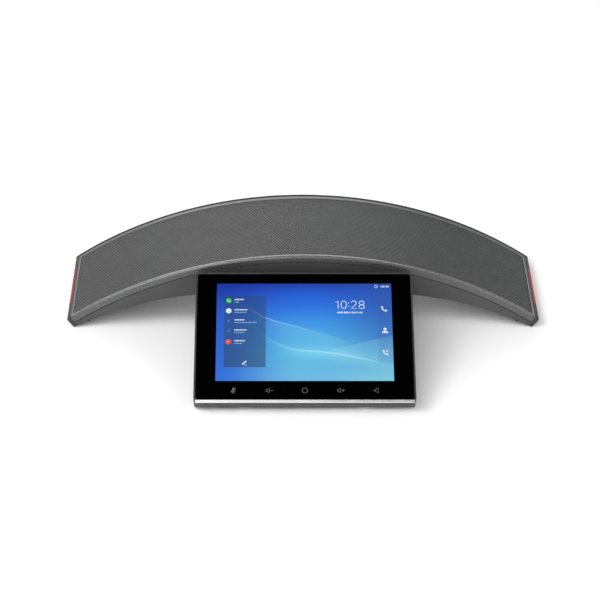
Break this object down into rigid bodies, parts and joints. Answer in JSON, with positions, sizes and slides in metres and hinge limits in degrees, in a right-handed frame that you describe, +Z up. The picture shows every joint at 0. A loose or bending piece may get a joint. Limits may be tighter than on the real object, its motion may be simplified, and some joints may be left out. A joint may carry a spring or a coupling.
{
  "type": "desk conference phone",
  "caption": "Desk conference IP phone: an arched speaker bar with perforated top and red end lights bridges a wedge base, with a tilting touch display in front.",
  "frame": {"origin": "on the table, under the middle of the footprint", "axes": "+X to the user's right along the speaker bar, +Y away from the user, +Z up"},
  "size_m": [0.421, 0.2226, 0.0768],
  "materials": {
    "shell_plastic": "fine matt texture, dark warm grey",
    "bezel_plastic": "satin, dark grey",
    "grille_metal": "perforated sheet, satin dark grey paint",
    "cloth": "thin black acoustic cloth",
    "cap_plastic": "satin, dark grey",
    "light_red": "translucent, lit red",
    "pcb": "green solder mask",
    "box_plastic": "matt black",
    "speaker_steel": "black painted steel",
    "magnet_iron": "plated steel pot",
    "cone_paper": "coated paper",
    "roll_rubber": "soft rubber roll",
    "gasket_foam": "closed-cell foam",
    "screw_steel": "zinc plated",
    "feet_rubber": "matt rubber",
    "housing_plastic": "fine matt texture",
    "plate_steel": "black powder coat",
    "spreader_aluminium": "bare extruded",
    "ballast_iron": "phosphated",
    "antenna_brass": "stamped",
    "socket_steel": "nickel plated shield",
    "inlet_plastic": "black moulded",
    "button_plastic": "pale moulded",
    "hinge_steel": "bright steel",
    "washer_brass": "spring bronze",
    "display_case": "fine matt texture, dark grey",
    "display_frame": "satin dark grey",
    "trim_chrome": "bright diamond cut edge",
    "black_glass": "black printed back, polished",
    "lcd": "lit liquid crystal picture",
    "tray_steel": "stamped tray",
    "flex_film": "polyimide film"
  },
  "bodies": {
    "root": {"lower_shell": "shell_plastic", "top_bezel": "bezel_plastic", "speaker_grille": "grille_metal", "acoustic_cloth": "cloth", "end_cap_left": "cap_plastic", "end_cap_right": "cap_plastic", "light_guide_left": "light_red", "light_guide_right": "light_red", "led_boards": "pcb", "speaker_boxes": "box_plastic", "speaker_frames": "speaker_steel", "speaker_magnets": "magnet_iron", "speaker_gaskets": "gasket_foam", "microphone_board": "pcb", "bar_screws": "screw_steel", "bar_feet": "feet_rubber", "wedge_housing": "housing_plastic", "base_plate": "plate_steel", "base_feet": "feet_rubber", "base_screws": "screw_steel", "main_board": "pcb", "heat_spreader": "spreader_aluminium", "ballast_weight": "ballast_iron", "antennas": "antenna_brass", "lan_jack": "socket_steel", "usb_port": "socket_steel", "dc_inlet": "inlet_plastic", "lock_plate": "socket_steel", "rest_bumpers": "feet_rubber", "hinge_brackets": "hinge_steel", "speaker_screws": "screw_steel"},
    "display": {"hinge_pins": "hinge_steel", "friction_washers": "washer_brass", "display_back_case": "display_case", "display_front_frame": "display_frame", "bright_trim": "trim_chrome", "cover_glass": "black_glass", "lcd_panel": "lcd", "lcd_backplate": "tray_steel", "touch_key_flex": "flex_film", "display_board": "pcb", "display_screws": "screw_steel"},
    "cone_left": {"speaker_cone_left": "cone_paper", "surround_left": "roll_rubber"},
    "cone_right": {"speaker_cone_right": "cone_paper", "surround_right": "roll_rubber"},
    "reset": {"reset_button": "button_plastic"}
  },
  "joints": [
    {"name": "display_tilt", "type": "hinge", "parent": "root", "child": "display", "pos_m": [0, -0.1025, 0.00716], "axis": [1, 0, 0], "range_deg": [0, 20]},
    {"name": "cone_left_travel", "type": "slide", "parent": "root", "child": "cone_left", "axis": [-0.2689, 0, 0.9632], "range_m": [-0.0015, 0.0015], "stiffness_N_per_m": 1000, "deforming": ["surround_left"]},
    {"name": "cone_right_travel", "type": "slide", "parent": "root", "child": "cone_right", "axis": [0.2689, 0, 0.9632], "range_m": [-0.0015, 0.0015], "stiffness_N_per_m": 1000, "deforming": ["surround_right"]},
    {"name": "reset_press", "type": "slide", "parent": "root", "child": "reset", "axis": [0, -1, 0], "range_m": [0, 0.0005], "stiffness_N_per_m": 400, "springref_m": -0.0005}
  ]
}
